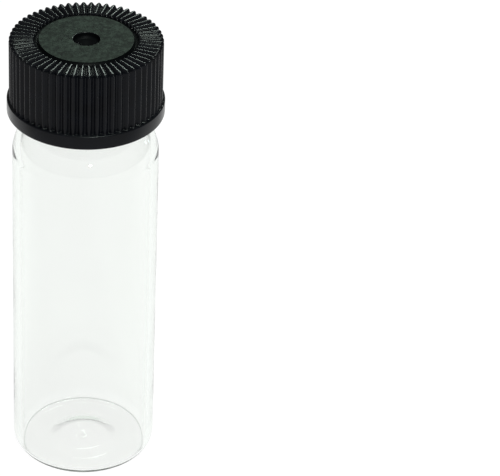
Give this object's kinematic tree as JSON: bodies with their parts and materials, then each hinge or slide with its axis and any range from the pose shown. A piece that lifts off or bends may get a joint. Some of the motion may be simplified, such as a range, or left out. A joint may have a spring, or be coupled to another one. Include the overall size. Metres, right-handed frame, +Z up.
{
  "type": "screw-cap sample vial",
  "caption": "Clear glass sample vial with a ribbed black screw cap and liner, for storing gold flakes, dust and small nuggets.",
  "frame": {"origin": "centre of the vial's base, on the surface it stands on", "axes": "+Z up along the vial's axis towards the cap; +X and +Y across it, with the thread's crest starting at +X"},
  "size_m": [0.0228, 0.0228, 0.07],
  "materials": {
    "glass": "clear, polished",
    "cap": "black moulded plastic, satin with fine ribs",
    "liner": "matte grey-green"
  },
  "bodies": {
    "vial": {"glass_vial": "glass"},
    "liner": {"cap_liner": "liner"},
    "cap": {"screw_cap": "cap"}
  },
  "joints": [
    {"name": "cap_rise", "type": "slide", "parent": "vial", "child": "liner", "axis": [0, 0, 1], "range_m": [0, 0.01271]},
    {"name": "cap_turn", "type": "hinge", "parent": "liner", "child": "cap", "pos_m": [0, 0, 0.0583], "axis": [0, 0, 1], "range_deg": [0, 1440]}
  ],
  "couplings": [
    {"joint": "cap_rise", "follows": "cap_turn", "m_per_rad": 0.00050532}
  ]
}
